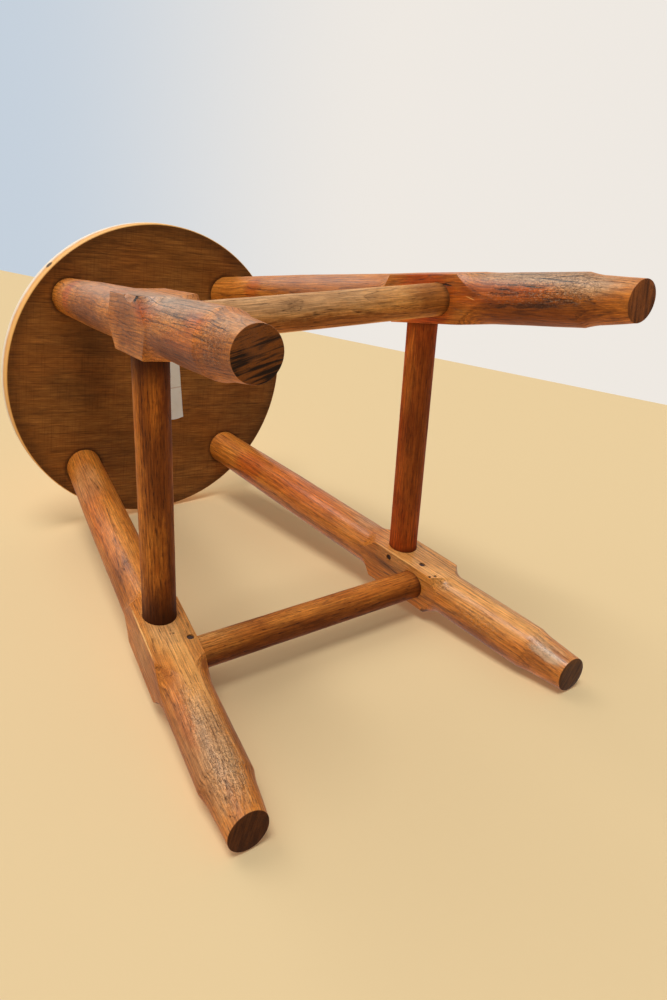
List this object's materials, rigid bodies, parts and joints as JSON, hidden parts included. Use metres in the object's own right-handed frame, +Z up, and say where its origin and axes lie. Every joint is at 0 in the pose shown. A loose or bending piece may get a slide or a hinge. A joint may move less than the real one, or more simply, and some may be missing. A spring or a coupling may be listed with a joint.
{
  "type": "stool",
  "caption": "Low round wooden stool: turned disc seat on splayed turned legs with square blocks, staggered round stretchers and nailed joints.",
  "frame": {"origin": "on the floor, at the middle of the box round the whole stool", "axes": "+Z up, the stool standing on its feet; X runs along the lower stretchers and Y along the higher ones, with the front towards -Y"},
  "size_m": [0.3294, 0.3273, 0.473],
  "materials": {
    "seat_oak": "satin varnish over dark stained oak",
    "leg_oak": "worn satin varnish over orange-brown oak",
    "stretcher_oak": "worn satin varnish over brown oak",
    "nail_iron": "dull dark iron"
  },
  "bodies": {
    "root": {"seat": "seat_oak", "leg_back_right": "leg_oak", "leg_back_left": "leg_oak", "leg_front_right": "leg_oak", "leg_front_left": "leg_oak", "stretcher_right": "stretcher_oak", "stretcher_left": "stretcher_oak", "stretcher_front": "stretcher_oak", "stretcher_back": "stretcher_oak", "nail_back_right_side": "nail_iron", "nail_back_right_cross": "nail_iron", "nail_back_left_side": "nail_iron", "nail_back_left_cross": "nail_iron", "nail_front_right_side": "nail_iron", "nail_front_right_cross": "nail_iron", "nail_front_left_side": "nail_iron", "nail_front_left_cross": "nail_iron"}
  },
  "joints": []
}
